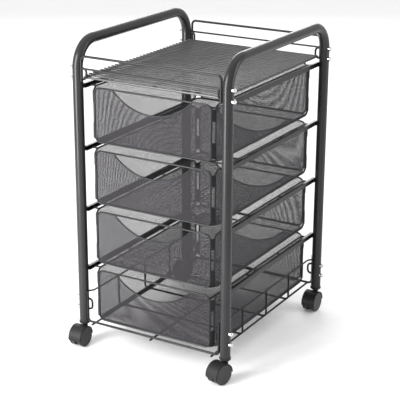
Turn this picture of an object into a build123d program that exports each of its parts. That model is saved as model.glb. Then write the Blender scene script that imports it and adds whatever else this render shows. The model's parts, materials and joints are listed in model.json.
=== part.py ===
from build123d import *
from math import cos, radians, sqrt
import os

# Wire shelf cart: two tube side frames, a wire top shelf with fences, four mesh drawers on
# rails, a wire bottom basket and four twin-wheel swivel casters.
# Millimetres. Origin on the floor, in the middle of the four legs. +X right, +Y back, +Z up.

cut_margin = 2.0

# ------------------------------------------------------------------ side frames
tube_d = 22.0
tube_wall = 1.5
tube_r = tube_d / 2
bore_r = tube_r - tube_wall
leg_x = 175.0
leg_y = 213.5
bar_z = 665.0
frame_bend = 55.0
tube_end_z = 52.5

# ------------------------------------------------------------------ leg sockets and stems
collar_r = 12.0
collar_z = 47.0
collar_chamfer = 1.5
plug_gap = 0.05
plug_top_z = 78.0
stem_r = 5.0
stem_gap = 0.05
socket_depth_z = 75.0
stem_top_z = 74.8
stem_edge = 1.0

# ------------------------------------------------------------------ drawer rails
rail_inner_x = 157.5
rail_outer_x = leg_x - tube_r
rail_height = 10.0
rail_wall = 1.2
rail_end_y = 213.0
rail_pitch = 133.0
top_rail_z = 577.0
drawer_count = 4
rail_zs = [top_rail_z - rail_pitch * i for i in range(drawer_count)]
saddle_half_y = 6.0
saddle_reach = 2.0

# ------------------------------------------------------------------ U-bolts and cap nuts
ubolt_d = 4.5
ubolt_x = 153.5
ubolt_end_x = 189.0
ubolt_bend = 8.0
ubolt_top_zs = (590.0, 612.5)
ubolt_bottom_zs = (82.5, 106.0)
ubolt_hole_gap = 0.1
nut_r = 4.75
nut_inner_x = leg_x + tube_r
nut_skirt = 2.8
nut_dome = 4.0
nut_bore_gap = 0.05
nut_seat_gap = 0.02
nut_seat_half_angle = 30.0
nut_bore_end_x = 189.3

# ------------------------------------------------------------------ top shelf and fences
# The fences and the basket's end hoops stand against the outer side of the U-bolts' arms and
# against the legs. The shelf's edge wires lie against the inner side of the arms.
fence_wire_d = 5.0
fence_step_y = (ubolt_d + fence_wire_d) / 2
fence_y = leg_y + fence_step_y
fence_x = leg_x - sqrt((tube_r + fence_wire_d / 2) ** 2 - fence_step_y**2)
fence_top_z = 638.5
fence_mid_z = 613.0
fence_mid_d = 4.0
fence_foot_z = 586.0
fence_bend = 9.5
shelf_edge_d = 5.0
shelf_edge_y = leg_y - (ubolt_d + shelf_edge_d) / 2
shelf_edge_x = 162.0
shelf_bar_d = 4.8
shelf_bar_x = 158.0
shelf_bar_z = 593.0
shelf_wire_d = 3.5
shelf_wire_half = 164.0
shelf_wire_pitch = 13.5
shelf_wire_count = 31
weld_overlap = 0.5
shelf_wire_z = shelf_bar_z + (shelf_bar_d + shelf_wire_d) / 2 - weld_overlap

# ------------------------------------------------------------------ bottom basket
basket_end_d = 5.0
basket_wire_d = 4.5
basket_low_z = 55.5
basket_end_top_z = 125.0
basket_end_bend = 9.5
basket_rib_ys = (-107.0, 0.0, 107.0)
basket_rib_x = 157.0
basket_rib_bend = 8.0
basket_rim_d = 3.8
basket_rim_z = 120.0
basket_rim_x = basket_rib_x + (basket_wire_d + basket_rim_d) / 2 - weld_overlap
basket_rim_turn_y = 197.0
basket_rim_bend = 14.0
basket_floor_x = 148.0
basket_floor_half = fence_y + basket_end_d / 2 + 3.0
basket_floor_z = basket_low_z - (basket_end_d + basket_wire_d) / 2 + weld_overlap
basket_rib_z = basket_floor_z + basket_wire_d - weld_overlap

# ------------------------------------------------------------------ drawers
wire_d = 4.0
wire_r = wire_d / 2
drawer_rim_drop = 1.5
drawer_wire_height = 114.0
side_panel_x = 143.0
side_panel_end_y = 204.0
end_panel_x = 136.5
end_panel_y = 210.5
panel_corner = 12.0
mesh_thickness = 0.6
hand_hold_chord = 187.0
hand_hold_sag = 41.0
hand_hold_d = 3.5
clip_thickness = 1.0
clip_half_width = 4.8
clip_edge = 0.4
clip_spans = ((9.5, 34.0), (77.0, 109.0))
runner_x = 160.2
runner_end_y = 195.0
runner_bend = 8.0
runner_tab_ys = (-70.0, 70.0)
runner_tab_d = 3.6

# ------------------------------------------------------------------ casters
wheel_r = 22.2
wheel_width = 11.5
wheel_inner_x = 3.5
wheel_cap_width = 2.2
wheel_cap_edge = 1.0
wheel_groove_width = 1.2
wheel_groove_r = 20.2
wheel_tread_r = 21.6
wheel_tread_edge = 1.0
axle_r = 3.0
axle_half = 13.5
axle_gap = 0.05
axle_end_gap = 0.2
axle_edge = 0.5
caster_offset = 17.0
caster_yaws = {"front_left": 0.0, "front_right": -14.5, "back_left": 0.0, "back_right": 0.0}
hood_inner_r = 23.0
hood_outer_r = 24.2
hood_half_width = 15.3
hood_front_angle = 192.0
web_half_width = 3.0
web_r = 13.0
web_overlap = 0.2
web_tail_y = 4.5
web_tail_zs = (16.2, 38.0)
boss_r = 6.5
boss_top_z = 42.0
stem_foot_z = 40.8
spigot_r = 2.5
spigot_foot_z = 20.0

os.makedirs("parts", exist_ok=True)


# ------------------------------------------------------------------ helpers
def bar(start, end, diameter):
    """A straight round wire from one point to another."""
    line = Vector(*end) - Vector(*start)
    return extrude(Plane(origin=start, z_dir=line) * Circle(diameter / 2), line.length)


def bent_wire(points, diameter, bend, closed=False):
    """A round wire along straight runs with rounded corners."""
    path = FilletPolyline(*points, radius=bend, close=closed)
    start = path.edges()[0]
    section = Plane(origin=start @ 0, z_dir=start % 0) * Circle(diameter / 2)
    return sweep(section, path=path)


def block(low, high):
    """A box from its lowest corner to its highest."""
    size = [high[i] - low[i] for i in range(3)]
    middle = [(high[i] + low[i]) / 2 for i in range(3)]
    return Pos(*middle) * Box(*size)


def upright(x, y, low_z, high_z, radius):
    """A vertical cylinder."""
    return Pos(x, y, (low_z + high_z) / 2) * Cylinder(radius, high_z - low_z)


def across(middle, length, radius):
    """A cylinder along X."""
    return Pos(*middle) * Rot(0, 90, 0) * Cylinder(radius, length)


def fused(pieces):
    """One solid made of pieces that touch."""
    return pieces[0].fuse(*pieces[1:]) if len(pieces) > 1 else pieces[0]


def write(name, pieces):
    """Write one sub-part, from one solid or a list of separate solids."""
    solids = pieces if isinstance(pieces, list) else [pieces]
    flat = [solid for piece in solids for solid in piece.solids()]
    shape = flat[0] if len(flat) == 1 else Compound(children=flat)
    shape.label = name
    export_step(shape, os.path.join("parts", name + ".step"))


sides = {"left": -1, "right": 1}
ends = {"front": -1, "back": 1}
legs = [(side, end) for side in sides.values() for end in ends.values()]


# ------------------------------------------------------------------ frame body
def side_frame(side):
    """An inverted U tube, drilled for the arms of the U-bolts."""
    x = side * leg_x
    points = [
        (x, -leg_y, tube_end_z),
        (x, -leg_y, bar_z),
        (x, leg_y, bar_z),
        (x, leg_y, tube_end_z),
    ]
    tube = bent_wire(points, tube_d, frame_bend) - bent_wire(points, 2 * bore_r, frame_bend)
    hole_r = ubolt_d / 2 + ubolt_hole_gap
    for end in ends.values():
        for z in ubolt_top_zs + ubolt_bottom_zs:
            tube -= across((x, end * leg_y, z), tube_d + cut_margin, hole_r)
    return tube


def leg_socket(side, end):
    """A plastic insert with a collar under the tube's end and a blind bore for the stem."""
    x, y = side * leg_x, end * leg_y
    collar = upright(x, y, collar_z, tube_end_z, collar_r)
    collar = chamfer(collar.edges().sort_by(Axis.Z)[0], collar_chamfer)
    plug = upright(x, y, tube_end_z, plug_top_z, bore_r - plug_gap)
    return collar + plug - upright(x, y, collar_z, socket_depth_z, stem_r + stem_gap)


def rail(side, z):
    """A channel that opens to the drawers, with a weld saddle on each leg."""
    low, high = z - rail_height / 2, z + rail_height / 2
    inner, outer = rail_inner_x, rail_outer_x
    channel = block((inner, -rail_end_y, low), (outer, rail_end_y, high))
    channel -= block(
        (inner, -rail_end_y, low + rail_wall), (outer - rail_wall, rail_end_y, high - rail_wall)
    )
    for end in ends.values():
        y = end * leg_y
        near, far = sorted((y - end * saddle_half_y, end * rail_end_y))
        saddle = block((outer, near, low), (outer + saddle_reach, far, high))
        channel += saddle - upright(leg_x, y, low, high, tube_r)
    return channel if side > 0 else mirror(channel, about=Plane.YZ)


def top_shelf():
    """Cross wires welded on three bars, which two edge wires join."""
    z = shelf_bar_z
    pieces = [
        bar((x, -shelf_edge_y, z), (x, shelf_edge_y, z), shelf_bar_d)
        for x in (-shelf_bar_x, 0, shelf_bar_x)
    ]
    for end in ends.values():
        y = end * shelf_edge_y
        pieces.append(bar((-shelf_edge_x, y, z), (shelf_edge_x, y, z), shelf_edge_d))
    for i in range(shelf_wire_count):
        y = shelf_wire_pitch * (i - (shelf_wire_count - 1) / 2)
        start = (-shelf_wire_half, y, shelf_wire_z)
        pieces.append(bar(start, (shelf_wire_half, y, shelf_wire_z), shelf_wire_d))
    return fused(pieces)


def fence(end):
    """An inverted U wire with a middle wire."""
    y = end * fence_y
    hoop = bent_wire(
        [
            (-fence_x, y, fence_foot_z),
            (-fence_x, y, fence_top_z),
            (fence_x, y, fence_top_z),
            (fence_x, y, fence_foot_z),
        ],
        fence_wire_d,
        fence_bend,
    )
    middle = bar((-fence_x, y, fence_mid_z), (fence_x, y, fence_mid_z), fence_mid_d)
    return fused([hoop, middle])


def basket_hoop(x, y, low_z, top_z, diameter, bend):
    """A U wire across the basket."""
    points = [(-x, y, top_z), (-x, y, low_z), (x, y, low_z), (x, y, top_z)]
    return bent_wire(points, diameter, bend)


def basket_rim(side):
    """The side wire, whose ends turn out to the legs."""
    z = basket_rim_z
    points = [
        (side * leg_x, -leg_y, z),
        (side * basket_rim_x, -basket_rim_turn_y, z),
        (side * basket_rim_x, basket_rim_turn_y, z),
        (side * leg_x, leg_y, z),
    ]
    wire = bent_wire(points, basket_rim_d, basket_rim_bend)
    for end in ends.values():
        wire -= upright(side * leg_x, end * leg_y, z - tube_r, z + tube_r, tube_r)
    return wire


def bottom_basket():
    """End hoops and ribs on three floor wires, under two side wires."""
    pieces = []
    for end in ends.values():
        sizes = (basket_low_z, basket_end_top_z, basket_end_d, basket_end_bend)
        pieces.append(basket_hoop(fence_x, end * fence_y, *sizes))
    for y in basket_rib_ys:
        sizes = (basket_rib_z, basket_rim_z, basket_wire_d, basket_rib_bend)
        pieces.append(basket_hoop(basket_rib_x, y, *sizes))
    for x in (-basket_floor_x, 0, basket_floor_x):
        start = (x, -basket_floor_half, basket_floor_z)
        pieces.append(bar(start, (x, basket_floor_half, basket_floor_z), basket_wire_d))
    pieces += [basket_rim(side) for side in sides.values()]
    return fused(pieces)


def ubolt(side, end, zs):
    """A U of rod: its bend stands inside the leg and its two arms go through it."""
    y = end * leg_y
    outer, inner = side * ubolt_end_x, side * ubolt_x
    points = [(outer, y, zs[0]), (inner, y, zs[0]), (inner, y, zs[1]), (outer, y, zs[1])]
    return bent_wire(points, ubolt_d, ubolt_bend)


def cap_nut(side, end, z):
    """A domed cap on the end of a U-bolt's arm, against the leg."""
    skirt = across((nut_inner_x + nut_skirt / 2, 0, 0), nut_skirt, nut_r)
    dome = Pos(nut_inner_x + nut_skirt, 0, 0) * scale(Sphere(nut_r), by=(nut_dome / nut_r, 1, 1))
    dome &= block((nut_inner_x + nut_skirt, -nut_r, -nut_r), (nut_inner_x + 2 * nut_r, nut_r, nut_r))
    nut = skirt + dome
    seat = nut_inner_x - tube_r * (1 - cos(radians(nut_seat_half_angle)))
    nut = across(((seat + nut_inner_x) / 2, 0, 0), nut_inner_x - seat, nut_r) + nut
    nut -= upright(leg_x, 0, -nut_r, nut_r, tube_r + nut_seat_gap)
    bore = nut_bore_end_x - leg_x
    nut -= across((leg_x + bore / 2, 0, 0), bore, ubolt_d / 2 + nut_bore_gap)
    nut = Pos(0, end * leg_y, z) * nut
    return nut if side > 0 else mirror(nut, about=Plane.YZ)


# ------------------------------------------------------------------ drawers
def end_panel(end, rail_z):
    """The front or back of a drawer: wire frame, mesh and the arc of its hand-hold."""
    y = end * end_panel_y
    top = rail_z - drawer_rim_drop
    low = top - drawer_wire_height
    corners = [(x, y, z) for x, z in frame_corners(end_panel_x, low, top)]
    frame = bent_wire(corners, wire_d, panel_corner, closed=True)
    arc_r = (hand_hold_chord**2 / 4 + hand_hold_sag**2) / (2 * hand_hold_sag)
    arc_z = top + arc_r - hand_hold_sag
    half = hand_hold_chord / 2
    arc = ThreePointArc((-half, y, top), (0, y, top - hand_hold_sag), (half, y, top))
    grip = sweep(Plane(origin=arc @ 0, z_dir=arc % 0) * Circle(hand_hold_d / 2), path=arc)
    mesh = block((-end_panel_x, y - mesh_thickness / 2, low), (end_panel_x, y + mesh_thickness / 2, top))
    mesh -= corner_cuts(mesh_thickness + cut_margin, end_panel_x, low, top, y)
    mesh -= Pos(0, y, arc_z) * Rot(90, 0, 0) * Cylinder(arc_r, mesh_thickness + cut_margin)
    return fused([frame, grip, mesh])


def frame_corners(half, low, high):
    """The corners of a frame that is symmetric in its first direction."""
    return [(-half, low), (half, low), (half, high), (-half, high)]


def corner_cuts(depth, half, low, high, y):
    """What the round corners take off a mesh sheet across Y."""
    middle = Pos(0, y, (low + high) / 2)
    outline = Rectangle(2 * half + cut_margin, high - low + cut_margin)
    outline -= RectangleRounded(2 * half, high - low, panel_corner)
    return middle * Rot(90, 0, 0) * extrude(outline, depth / 2, both=True)


def side_panel(side, rail_z):
    """The left or right of a drawer: a full wire rectangle with mesh."""
    top = rail_z - drawer_rim_drop
    low = top - drawer_wire_height
    x = side * side_panel_x
    corners = [(x, y, z) for y, z in frame_corners(side_panel_end_y, low, top)]
    frame = bent_wire(corners, wire_d, panel_corner, closed=True)
    mesh = Rot(0, 0, 90) * block(
        (-side_panel_end_y, -mesh_thickness / 2, low), (side_panel_end_y, mesh_thickness / 2, top)
    )
    mesh -= Rot(0, 0, 90) * corner_cuts(mesh_thickness + cut_margin, side_panel_end_y, low, top, 0)
    return fused([frame, Pos(x, 0, 0) * mesh])


def bottom_panel(rail_z):
    """The drawer's bottom, whose frame lies inside the low wires of the four sides."""
    z = rail_z - drawer_rim_drop - drawer_wire_height
    half_x = side_panel_x - wire_d
    half_y = end_panel_y - wire_d
    corners = [(x, y, z) for x, y in frame_corners(half_x, -half_y, half_y)]
    frame = bent_wire(corners, wire_d, panel_corner, closed=True)
    sheet = extrude(RectangleRounded(2 * half_x, 2 * half_y, panel_corner), mesh_thickness)
    return fused([frame, Pos(0, 0, z - mesh_thickness / 2) * sheet])


def clip(side, end, high, low):
    """A plate that joins the end wires of two panels across the drawer's open corner."""
    middle = Vector((end_panel_x + side_panel_x) / 2, (end_panel_y + side_panel_end_y) / 2, 0)
    gap = Vector(side_panel_x - end_panel_x, side_panel_end_y - end_panel_y, 0)
    along = gap.normalized()
    out = Vector(-along.Y, along.X, 0)
    centre = middle + out * (wire_r + clip_thickness / 2)
    plane = Plane(origin=(centre.X, centre.Y, low), x_dir=along, z_dir=(0, 0, 1))
    plate = extrude(plane * Rectangle(2 * clip_half_width, clip_thickness), high - low)
    plate = chamfer(plate.edges().filter_by(lambda edge: edge.length < 2 * clip_thickness), clip_edge)
    plate = plate if end > 0 else mirror(plate, about=Plane.XZ)
    return plate if side > 0 else mirror(plate, about=Plane.YZ)


def clips(rail_z):
    """Two clips at each corner of a drawer."""
    top = rail_z - drawer_rim_drop + wire_r
    return [clip(side, end, top - near, top - far) for side, end in legs for near, far in clip_spans]


def runner(side, rail_z):
    """The wire that runs in the rail, tied to the drawer's rim by its ends and by tabs."""
    z = rail_z - drawer_rim_drop
    rim = side * (side_panel_x + wire_r)
    x = side * runner_x
    points = [(rim, -runner_end_y, z), (x, -runner_end_y, z), (x, runner_end_y, z), (rim, runner_end_y, z)]
    pieces = [bent_wire(points, wire_d, runner_bend)]
    pieces += [bar((rim, y, z), (x, y, z), runner_tab_d) for y in runner_tab_ys]
    return fused(pieces)


# ------------------------------------------------------------------ casters
# A caster is built with its stem on the Z axis, and its wheels trail towards -Y on an axle
# along X. Then it is turned and moved to its leg.
def across_axle(length, radius, middle_x=0.0):
    """A cylinder on the axle's line."""
    return across((middle_x, -caster_offset, wheel_r), length, radius)


def stem_shape():
    """The pin: a spigot in the web, then the shank that the socket holds."""
    shank = upright(0, 0, stem_foot_z, stem_top_z, stem_r)
    shank = chamfer(shank.edges().sort_by(Axis.Z)[-1], stem_edge)
    return shank + upright(0, 0, spigot_foot_z, stem_foot_z, spigot_r)


def housing_shape():
    """The hood over both wheels, the web between them and the boss for the stem."""
    shell = across_axle(2 * hood_half_width, hood_outer_r) - across_axle(2 * hood_half_width, hood_inner_r)
    reach = 2 * hood_outer_r
    keep = block(
        (-hood_half_width, -caster_offset - reach, wheel_r),
        (hood_half_width, -caster_offset + reach, wheel_r + reach),
    )
    swing = hood_front_angle - 180
    turn = Pos(0, -caster_offset, wheel_r) * Rot(swing, 0, 0) * Pos(0, caster_offset, -wheel_r)
    hood = shell & (keep + turn * keep)
    web = across_axle(2 * web_half_width, web_r)
    rim = across_axle(2 * web_half_width, hood_inner_r + web_overlap) & (keep + turn * keep)
    low, high = web_tail_zs
    tail = block((-web_half_width, -caster_offset, low), (web_half_width, web_tail_y, high))
    boss = upright(0, 0, wheel_r, boss_top_z, boss_r) - across_axle(4 * boss_r, hood_inner_r)
    housing = hood + web + rim + tail + boss
    housing -= upright(0, 0, stem_foot_z, boss_top_z + wheel_r, stem_r)
    housing -= upright(0, 0, spigot_foot_z, stem_foot_z, spigot_r)
    return housing - across_axle(2 * web_half_width + cut_margin, axle_r)


def axle_shape():
    """The steel pin through the web and both wheels."""
    pin = across_axle(2 * axle_half, axle_r)
    return chamfer(pin.edges().filter_by(GeomType.CIRCLE), axle_edge)


def wheel_shape(side):
    """A plastic wheel: a tread and an outer cap with a groove between them, bored from inside."""
    outer_x = wheel_inner_x + wheel_width
    groove_end = outer_x - wheel_cap_width
    tread_end = groove_end - wheel_groove_width
    tread_width = tread_end - wheel_inner_x
    tread = across_axle(tread_width, wheel_tread_r, wheel_inner_x + tread_width / 2)
    tread = fillet(tread.edges().filter_by(GeomType.CIRCLE), wheel_tread_edge)
    core_width = groove_end - wheel_inner_x - wheel_tread_edge
    core = across_axle(core_width, wheel_groove_r, groove_end - core_width / 2)
    cap = across_axle(wheel_cap_width, wheel_r, outer_x - wheel_cap_width / 2)
    cap = chamfer(cap.edges().filter_by(GeomType.CIRCLE).sort_by(Axis.X)[-1], wheel_cap_edge)
    wheel = tread + core + cap
    bore_end = axle_half + axle_end_gap
    wheel -= across_axle(bore_end, axle_r + axle_gap, bore_end / 2)
    return wheel if side > 0 else mirror(wheel, about=Plane.YZ)


# ------------------------------------------------------------------ write the parts
for side_name, side in sides.items():
    write("side_frame_" + side_name, side_frame(side))
    write("rails_" + side_name, [rail(side, z) for z in rail_zs])

write("top_shelf", top_shelf())
for end_name, end in ends.items():
    write(end_name + "_fence", fence(end))
write("bottom_basket", bottom_basket())

bolt_rows = [(side, end, zs) for side, end in legs for zs in (ubolt_top_zs, ubolt_bottom_zs)]
write("u_bolts", [ubolt(side, end, zs) for side, end, zs in bolt_rows])
write("cap_nuts", [cap_nut(side, end, z) for side, end, zs in bolt_rows for z in zs])
write("leg_sockets", [leg_socket(side, end) for side, end in legs])

for number, rail_z in enumerate(rail_zs, start=1):
    drawer = f"drawer_{number}_"
    for end_name, end in ends.items():
        write(drawer + end_name + "_panel", end_panel(end, rail_z))
    for side_name, side in sides.items():
        write(drawer + side_name + "_panel", side_panel(side, rail_z))
    write(drawer + "bottom_panel", bottom_panel(rail_z))
    write(drawer + "clips", clips(rail_z))
    write(drawer + "runners", [runner(side, rail_z) for side in sides.values()])

caster_parts = {
    "housing": housing_shape(),
    "stem": stem_shape(),
    "axle": axle_shape(),
    "wheel_left": wheel_shape(-1),
    "wheel_right": wheel_shape(1),
}
for end_name, end in ends.items():
    for side_name, side in sides.items():
        caster = f"{end_name}_{side_name}"
        place = Pos(side * leg_x, end * leg_y, 0) * Rot(0, 0, caster_yaws[caster])
        for part_name, shape in caster_parts.items():
            write(f"caster_{caster}_{part_name}", place * shape)
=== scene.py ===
import json
from math import asin, ceil, cos, hypot, pi, radians, sin, sqrt, tan
from random import Random

import bmesh
import bpy
from mathutils import Euler, Matrix, Vector


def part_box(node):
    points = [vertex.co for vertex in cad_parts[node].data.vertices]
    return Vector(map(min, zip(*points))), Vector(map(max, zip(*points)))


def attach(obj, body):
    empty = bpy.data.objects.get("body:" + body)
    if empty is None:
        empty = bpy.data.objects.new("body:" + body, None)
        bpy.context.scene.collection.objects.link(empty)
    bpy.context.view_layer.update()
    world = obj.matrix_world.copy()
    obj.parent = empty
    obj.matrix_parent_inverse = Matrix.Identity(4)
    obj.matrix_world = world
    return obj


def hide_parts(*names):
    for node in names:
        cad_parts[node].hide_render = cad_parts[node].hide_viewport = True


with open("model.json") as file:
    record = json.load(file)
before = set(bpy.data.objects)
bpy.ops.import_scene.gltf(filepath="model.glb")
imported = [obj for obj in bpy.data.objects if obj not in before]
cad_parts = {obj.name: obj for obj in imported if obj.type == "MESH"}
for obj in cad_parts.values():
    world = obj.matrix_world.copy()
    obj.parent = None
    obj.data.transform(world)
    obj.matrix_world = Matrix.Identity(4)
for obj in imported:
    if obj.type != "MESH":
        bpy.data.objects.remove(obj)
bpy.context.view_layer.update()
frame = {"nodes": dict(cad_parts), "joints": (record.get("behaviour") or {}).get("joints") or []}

# Wire shelf cart. Metres, in the frame's axes: -Y is the front, +X the right, +Z up.

# ------------------------------------------------------------------ sizes
PANEL_CORNER = 0.012
HAND_HOLD_CHORD = 0.187
HAND_HOLD_SAG = 0.041
HAND_HOLD_RADIUS = 0.00175
TUBE_SIDES = 12
ARC_STEPS = 8

STRAND_PITCH = 0.0013
STRAND_WIDTH = 0.00057
STRAND_THICKNESS = 0.0002
STRAND_ANGLE = radians(35)
STRAND_STRAY = 0.15
STRAND_LAP = 0.0008
SHORTEST_STRAND = 0.002
BACK_STRAND_SHARE = 0.8
EDGE_HALVINGS = 18
MESH_SEED = 7
SEED_PER_METRE = 1e4

HOOD_WALL = 0.0012
HOOD_HALF_WIDTH = 0.0153
HOOD_SWEEP = radians(192)
HOOD_STEPS = 40
# Painted shade strip on a hood's side face: how far it sinks into the face and how far it rises out of it.
PAINTED_SHADE_SINK = 0.0001
PAINTED_SHADE_RISE = 0.00015

CAMERA_PLACE = (1.2834, -2.2046, 1.1883)
CAMERA_YAW = radians(30.428)
CAMERA_PITCH = radians(19.28)
CAMERA_ROLL = radians(0.26)
CAMERA_LENS = 111.45
SENSOR = 36.0
VIEW_DEPTH = 60

FLOOR_HALF = 9.0
GRAIN_DEPTH = 0.0002


# ------------------------------------------------------------------ materials
def new_material(name):
    """A node material with its Principled shader."""
    material = bpy.data.materials.new(name)
    material.use_nodes = True
    return material, material.node_tree.nodes, material.node_tree.links


def noise(nodes, links, scale, detail=2.0, rough=0.5):
    """Noise over the object's own coordinates, in metres."""
    place = nodes.new("ShaderNodeTexCoord")
    texture = nodes.new("ShaderNodeTexNoise")
    texture.inputs["Scale"].default_value = scale
    texture.inputs["Detail"].default_value = detail
    texture.inputs["Roughness"].default_value = rough
    links.new(place.outputs["Object"], texture.inputs["Vector"])
    return texture.outputs["Fac"]


def ramp(nodes, links, source, low, high, start=0.35, end=0.65):
    """A colour or grey that runs from low to high as the source rises."""
    node = nodes.new("ShaderNodeValToRGB")
    for element, place, value in zip(node.color_ramp.elements, (start, end), (low, high)):
        element.position = place
        element.color = (*value, 1) if isinstance(value, tuple) else (value, value, value, 1)
    links.new(source, node.inputs["Fac"])
    return node.outputs["Color"]


def surface(name, dark, light, rough, grain, bump, metal=0.0, shine=0.5, blotch=9.0):
    """A finish: colour that drifts between two shades, a roughness range and a fine grain."""
    material, nodes, links = new_material(name)
    shader = nodes["Principled BSDF"]
    shader.inputs["Metallic"].default_value = metal
    shader.inputs["Specular IOR Level"].default_value = shine
    drift = noise(nodes, links, blotch, 3.0)
    speckle = noise(nodes, links, grain, 2.0)
    mix = nodes.new("ShaderNodeMath")
    mix.operation = "MULTIPLY_ADD"
    mix.inputs[1].default_value = 0.5
    links.new(speckle, mix.inputs[0])
    half = nodes.new("ShaderNodeMath")
    half.operation = "MULTIPLY"
    half.inputs[1].default_value = 0.5
    links.new(drift, half.inputs[0])
    links.new(half.outputs[0], mix.inputs[2])
    links.new(ramp(nodes, links, mix.outputs[0], dark, light), shader.inputs["Base Color"])
    links.new(ramp(nodes, links, speckle, *rough), shader.inputs["Roughness"])
    relief = nodes.new("ShaderNodeBump")
    relief.inputs["Strength"].default_value = bump
    relief.inputs["Distance"].default_value = GRAIN_DEPTH
    links.new(speckle, relief.inputs["Height"])
    links.new(relief.outputs["Normal"], shader.inputs["Normal"])
    return material


TUBE_PAINT = surface(
    "tube_paint", (0.012, 0.012, 0.013), (0.02, 0.02, 0.022),
    (0.2, 0.28), 1400, 0.1, shine=0.32,
)
RAIL_PAINT = surface(
    "rail_paint", (0.004, 0.004, 0.005), (0.008, 0.008, 0.009),
    (0.22, 0.3), 1500, 0.1, shine=0.25,
)
# Top shelf wires: the same black paint as the other wires, made lighter to paint in the highlights that
# their tops catch.
SHELF_PAINT_AND_HIGHLIGHT = surface(
    "shelf_paint", (0.03, 0.029, 0.031), (0.05, 0.048, 0.051),
    (0.26, 0.36), 1800, 0.1, shine=0.6,
)
WIRE_PAINT = surface(
    "wire_paint", (0.006, 0.006, 0.007), (0.012, 0.012, 0.013),
    (0.26, 0.36), 1800, 0.1, shine=0.25,
)
FRAME_PAINT = surface(
    "frame_wire_paint", (0.01, 0.01, 0.011), (0.018, 0.018, 0.02),
    (0.28, 0.38), 1800, 0.1, shine=0.25,
)
MESH_PAINT = surface(
    "mesh_paint", (0.026, 0.024, 0.027), (0.04, 0.037, 0.042),
    (0.45, 0.55), 2500, 0.1, shine=0.1,
)
BRIGHT_CAP = surface("bright_cap", (0.5, 0.5, 0.51), (0.65, 0.65, 0.66), (0.12, 0.22), 900, 0.05, metal=1.0)
SOCKET_PLASTIC = surface(
    "socket_plastic", (0.012, 0.012, 0.013), (0.02, 0.02, 0.022),
    (0.4, 0.55), 2200, 0.2, shine=0.25,
)
CASTER_PLASTIC = surface(
    "caster_plastic", (0.01, 0.01, 0.011), (0.017, 0.017, 0.018),
    (0.36, 0.46), 2200, 0.2, shine=0.2,
)
WHEEL_PLASTIC = surface(
    "wheel_plastic", (0.022, 0.022, 0.023), (0.034, 0.034, 0.035),
    (0.4, 0.52), 2000, 0.2, shine=0.25,
)
BLACK_STEEL = surface(
    "black_steel", (0.004, 0.004, 0.005), (0.008, 0.008, 0.009),
    (0.35, 0.5), 1600, 0.1, shine=0.2,
)
# Painted shade: a near-black finish for the strip that stands in for the shadow in the gap between a
# caster's hood and its wheel.
HOOD_PAINTED_SHADE = surface(
    "hood_painted_shade", (0.003, 0.003, 0.003), (0.006, 0.006, 0.006),
    (0.6, 0.7), 2000, 0.1, shine=0.1,
)
PLAIN_STEEL = surface("plain_steel", (0.5, 0.5, 0.52), (0.6, 0.6, 0.62), (0.25, 0.4), 1200, 0.1, metal=1.0)
FLOOR_PAINT = surface("floor", (0.93, 0.93, 0.93), (0.96, 0.96, 0.96), (0.55, 0.7), 60, 0.02, blotch=2.0)


def material_of(node):
    """The finish of a CAD node, from its name."""
    if node.startswith("side_frame"):
        return TUBE_PAINT
    if node.startswith("rails"):
        return RAIL_PAINT
    # The top shelf gets the lighter copy of the wire paint, with painted highlights.
    if node == "top_shelf":
        return SHELF_PAINT_AND_HIGHLIGHT
    if node == "cap_nuts":
        return BRIGHT_CAP
    if node == "leg_sockets":
        return SOCKET_PLASTIC
    if node.endswith("_housing"):
        return CASTER_PLASTIC
    if "_wheel_" in node:
        return WHEEL_PLASTIC
    if node.endswith("_stem"):
        return BLACK_STEEL
    if node.endswith("_axle"):
        return PLAIN_STEEL
    return WIRE_PAINT


for name, node in frame["nodes"].items():
    node.data.materials.clear()
    node.data.materials.append(material_of(name))


# ------------------------------------------------------------------ drawer panels
def rounded_loop(half_u, half_v, corner):
    """Points of a rectangle with round corners, anticlockwise."""
    points = []
    for turn, (u, v) in enumerate(((1, 1), (-1, 1), (-1, -1), (1, -1))):
        for step in range(ARC_STEPS + 1):
            angle = (turn + step / ARC_STEPS) * pi / 2
            centre_u, centre_v = u * (half_u - corner), v * (half_v - corner)
            points.append((centre_u + corner * cos(angle), centre_v + corner * sin(angle)))
    return points


def arc_points(half_v):
    """Points of the hand-hold's arc, which hangs from the top wire."""
    radius = hand_hold_radius()
    reach = asin(HAND_HOLD_CHORD / 2 / radius)
    steps = 4 * ARC_STEPS
    angles = [reach * (2 * step / steps - 1) for step in range(steps + 1)]
    middle = half_v + radius - HAND_HOLD_SAG
    return [(radius * sin(angle), middle - radius * cos(angle)) for angle in angles]


def hand_hold_radius():
    """Radius of the arc through the chord's ends and its lowest point."""
    return (HAND_HOLD_CHORD**2 / 4 + HAND_HOLD_SAG**2) / (2 * HAND_HOLD_SAG)


def add_tube(mesh, points, radius, closed, place):
    """A round wire along flat points. place turns (u, v, w) into a point of the frame."""
    count = len(points)
    rings = []
    for index, (u, v) in enumerate(points):
        before = points[index - 1] if closed or index else points[index]
        after = points[(index + 1) % count] if closed or index < count - 1 else points[index]
        run_u, run_v = after[0] - before[0], after[1] - before[1]
        length = hypot(run_u, run_v)
        side_u, side_v = run_v / length, -run_u / length
        ring = []
        for step in range(TUBE_SIDES):
            angle = 2 * pi * step / TUBE_SIDES
            out, up = radius * cos(angle), radius * sin(angle)
            ring.append(mesh.verts.new(place(u + side_u * out, v + side_v * out, up)))
        rings.append(ring)
    pairs = list(zip(rings, rings[1:])) + ([(rings[-1], rings[0])] if closed else [])
    for first, second in pairs:
        for step in range(TUBE_SIDES):
            following = (step + 1) % TUBE_SIDES
            face = mesh.faces.new((first[step], first[following], second[following], second[step]))
            face.smooth = True
    if not closed:
        mesh.faces.new(rings[0][::-1])
        mesh.faces.new(rings[-1])


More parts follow.
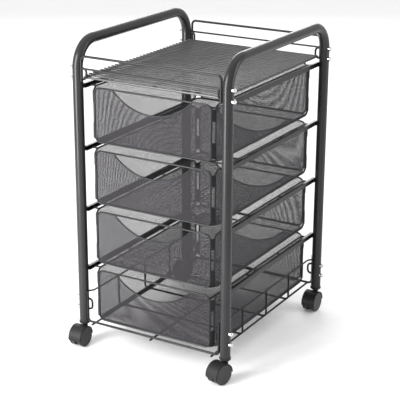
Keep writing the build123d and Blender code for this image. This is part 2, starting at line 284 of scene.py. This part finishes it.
def inside_panel(u, v, half_u, half_v, corner):
    """Whether a point lies in the rectangle with round corners."""
    past_u, past_v = abs(u) - (half_u - corner), abs(v) - (half_v - corner)
    if past_u <= 0 or past_v <= 0:
        return past_u <= corner and past_v <= corner
    return hypot(past_u, past_v) <= corner


def edge_along(start, run, low, high, inside):
    """Where a line leaves the panel, between a place inside and one outside."""
    for _ in range(EDGE_HALVINGS):
        middle = (low + high) / 2
        if inside(start[0] + run[0] * middle, start[1] + run[1] * middle):
            low = middle
        else:
            high = middle
    return low


def strand_spans(start, run, reach, inside, hole):
    """The stretches of a line that lie in the panel and out of the hand-hold."""
    if not inside(*start):
        return []
    low = -edge_along(start, (-run[0], -run[1]), 0, reach, inside)
    high = edge_along(start, run, 0, reach, inside)
    if hole is None:
        return [(low, high)]
    offset_u, offset_v = start[0], start[1] - hole[0]
    along = offset_u * run[0] + offset_v * run[1]
    square = along**2 - (offset_u**2 + offset_v**2 - hole[1] ** 2)
    if square <= 0:
        return [(low, high)]
    near, far = -along - sqrt(square), -along + sqrt(square)
    return [span for span in ((low, min(high, near)), (max(low, far), high)) if span[1] > span[0]]


def add_strand(mesh, start, run, span, thickness, place):
    """One strand of the mesh: a thin bar with a flat diamond section."""
    across_u, across_v = -run[1] * STRAND_WIDTH / 2, run[0] * STRAND_WIDTH / 2
    ends = []
    for distance in span:
        u, v = start[0] + run[0] * distance, start[1] + run[1] * distance
        corners = (
            (u + across_u, v + across_v, 0),
            (u, v, thickness / 2),
            (u - across_u, v - across_v, 0),
            (u, v, -thickness / 2),
        )
        ends.append([mesh.verts.new(place(*corner)) for corner in corners])
    for step in range(4):
        following = (step + 1) % 4
        face = mesh.faces.new((ends[0][step], ends[0][following], ends[1][following], ends[1][step]))
        face.material_index = 1
    for ring in (ends[0][::-1], ends[1]):
        mesh.faces.new(ring).material_index = 1


def add_lattice(mesh, half_u, half_v, corner, hole, place):
    """Two families of crossing strands, cut to the panel's outline."""
    def inside(u, v):
        return inside_panel(u, v, half_u, half_v, corner)

    reach = 2 * hypot(half_u, half_v)
    draw = Random(MESH_SEED + int(SEED_PER_METRE * (half_u + half_v)))
    for family, thickness in ((1, STRAND_THICKNESS), (-1, STRAND_THICKNESS * BACK_STRAND_SHARE)):
        run = (cos(STRAND_ANGLE), family * sin(STRAND_ANGLE))
        step_u = STRAND_PITCH / sin(STRAND_ANGLE)
        wide = half_u + half_v / tan(STRAND_ANGLE)
        count = ceil(wide / step_u)
        for index in range(-count, count + 1):
            crossing = ((index + draw.uniform(-STRAND_STRAY, STRAND_STRAY)) * step_u, 0.0)
            start = start_inside(crossing, run, inside, half_u, half_v)
            if start is None:
                continue
            for low, high in strand_spans(start, run, reach, inside, hole):
                if high - low > SHORTEST_STRAND:
                    add_strand(mesh, start, run, (low, high), thickness, place)


def start_inside(crossing, run, inside, half_u, half_v):
    """A point of the line inside the panel: the middle of its stretch in the plain rectangle."""
    spans = []
    for place, direction, half in ((crossing[0], run[0], half_u), (crossing[1], run[1], half_v)):
        spans.append(sorted(((-half - place) / direction, (half - place) / direction)))
    low, high = max(spans[0][0], spans[1][0]), min(spans[0][1], spans[1][1])
    if high <= low:
        return None
    middle = (low + high) / 2
    start = (crossing[0] + run[0] * middle, crossing[1] + run[1] * middle)
    return start if inside(*start) else None


def panel(node, axes, hand_hold):
    """A drawer panel: its wire frame, its mesh and the arc of its hand-hold."""
    low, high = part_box(node)
    u_axis, v_axis, w_axis = axes
    radius = (high[w_axis] - low[w_axis]) / 2
    half_u = (high[u_axis] - low[u_axis]) / 2 - radius
    half_v = (high[v_axis] - low[v_axis]) / 2 - radius
    centre = (low + high) / 2

    def place(u, v, w):
        point = centre.copy()
        point[u_axis] += u
        point[v_axis] += v
        point[w_axis] += w
        return point

    mesh = bmesh.new()
    add_tube(mesh, rounded_loop(half_u, half_v, PANEL_CORNER), radius, True, place)
    hole = None
    if hand_hold:
        add_tube(mesh, arc_points(half_v), HAND_HOLD_RADIUS, False, place)
        hole = (half_v + hand_hold_radius() - HAND_HOLD_SAG, hand_hold_radius())
    outline = (half_u + STRAND_LAP, half_v + STRAND_LAP, PANEL_CORNER + STRAND_LAP)
    add_lattice(mesh, *outline, hole, place)
    bmesh.ops.recalc_face_normals(mesh, faces=mesh.faces[:])
    data = bpy.data.meshes.new(node + "_wirework")
    mesh.to_mesh(data)
    mesh.free()
    data.materials.append(FRAME_PAINT)
    data.materials.append(MESH_PAINT)
    piece = bpy.data.objects.new(node + "_wirework", data)
    bpy.context.scene.collection.objects.link(piece)
    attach(piece, node.rsplit("_", 2)[0])
    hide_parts(node)


X, Y, Z = 0, 1, 2
PANELS = {
    "front_panel": ((X, Z, Y), True),
    "back_panel": ((X, Z, Y), True),
    "left_panel": ((Y, Z, X), False),
    "right_panel": ((Y, Z, X), False),
    "bottom_panel": ((X, Y, Z), False),
}
for name in list(frame["nodes"]):
    kind = "_".join(name.split("_")[-2:])
    if name.startswith("drawer_") and kind in PANELS:
        panel(name, *PANELS[kind])


# ------------------------------------------------------------------ caster hoods: painted shade strips
def hood_painted_shade(joint):
    """A near-black strip of painted shade on one side face of a hood, standing in for the shadow in the gap
    between hood and wheel, from the back over the top to the front.
    """
    caster, side = joint["name"].removesuffix("_spin").split("_wheel_")
    centre, axle = Vector(joint["pos_m"]), Vector(joint["axis"]).normalized()
    back = Vector((-axle.y, axle.x, 0))
    outward = axle if side == "right" else -axle
    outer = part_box(caster + "_housing")[1].z - centre.z
    inner = outer - HOOD_WALL
    section = [(inner, -PAINTED_SHADE_SINK), (outer, -PAINTED_SHADE_SINK), (outer, PAINTED_SHADE_RISE), (inner, PAINTED_SHADE_RISE)]
    mesh = bmesh.new()
    rings = []
    for step in range(HOOD_STEPS + 1):
        angle = HOOD_SWEEP * step / HOOD_STEPS
        arm = back * cos(angle) + Vector((0, 0, sin(angle)))
        ring = []
        for radius, rise in section:
            ring.append(mesh.verts.new(centre + arm * radius + outward * (HOOD_HALF_WIDTH + rise)))
        rings.append(ring)
    for first, second in zip(rings, rings[1:]):
        for corner in range(4):
            following = (corner + 1) % 4
            mesh.faces.new((first[corner], first[following], second[following], second[corner]))
    mesh.faces.new(rings[0][::-1])
    mesh.faces.new(rings[-1])
    bmesh.ops.recalc_face_normals(mesh, faces=mesh.faces[:])
    data = bpy.data.meshes.new(f"{caster}_hood_painted_shade_{side}")
    mesh.to_mesh(data)
    mesh.free()
    data.materials.append(HOOD_PAINTED_SHADE)
    piece = bpy.data.objects.new(f"{caster}_hood_painted_shade_{side}", data)
    bpy.context.scene.collection.objects.link(piece)
    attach(piece, caster)


# Painted shade: a dark strip on both side faces of each caster's hood.
for joint in frame["joints"]:
    if joint["name"].endswith("_spin"):
        hood_painted_shade(joint)


# ------------------------------------------------------------------ floor, light and camera
def add_floor():
    """A plain pale floor under the wheels."""
    data = bpy.data.meshes.new("floor")
    corners = [(FLOOR_HALF * x, FLOOR_HALF * y, 0) for x, y in ((-1, -1), (1, -1), (1, 1), (-1, 1))]
    data.from_pydata(corners, [], [(0, 1, 2, 3)])
    data.materials.append(FLOOR_PAINT)
    floor = bpy.data.objects.new("floor", data)
    bpy.context.scene.collection.objects.link(floor)


def add_light(name, place, target, size, power):
    """A large soft rectangle of light that points at a target."""
    light = bpy.data.lights.new(name, "AREA")
    light.shape = "RECTANGLE"
    light.size, light.size_y = size
    light.energy = power
    lamp = bpy.data.objects.new(name, light)
    lamp.location = place
    lamp.rotation_euler = (Vector(target) - Vector(place)).to_track_quat("-Z", "Y").to_euler()
    bpy.context.scene.collection.objects.link(lamp)


def add_sky(colour, strength):
    """Even light from all round."""
    world = bpy.data.worlds.new("studio")
    world.use_nodes = True
    background = world.node_tree.nodes["Background"]
    background.inputs["Color"].default_value = (*colour, 1)
    background.inputs["Strength"].default_value = strength
    bpy.context.scene.world = world


def add_camera():
    """The camera, turned about Z, tipped down and rolled a little."""
    data = bpy.data.cameras.new("camera")
    data.lens = CAMERA_LENS
    data.sensor_width = SENSOR
    data.clip_end = VIEW_DEPTH
    camera = bpy.data.objects.new("camera", data)
    turn = Euler((pi / 2 - CAMERA_PITCH, 0, CAMERA_YAW)).to_matrix()
    turn = turn @ Matrix.Rotation(CAMERA_ROLL, 3, "Z")
    camera.matrix_world = Matrix.Translation(CAMERA_PLACE) @ turn.to_4x4()
    bpy.context.scene.collection.objects.link(camera)
    bpy.context.scene.camera = camera


MIDDLE = (0, 0, 0.34)
add_floor()
add_sky((1, 1, 1), 0.95)
add_light("strip", (-0.5, -1.35, 0.7), (0, 0, 0.4), (0.6, 1.4), 42)
add_light("side", (2.0, 0.7, 0.9), MIDDLE, (0.5, 1.6), 12)
add_light("back", (-1.7, 2.7, 1.5), MIDDLE, (2.2, 0.9), 25)
add_light("top", (0.0, 0.3, 2.6), MIDDLE, (2.4, 2.4), 8)
add_camera()
bpy.context.scene.view_settings.view_transform = "Standard"
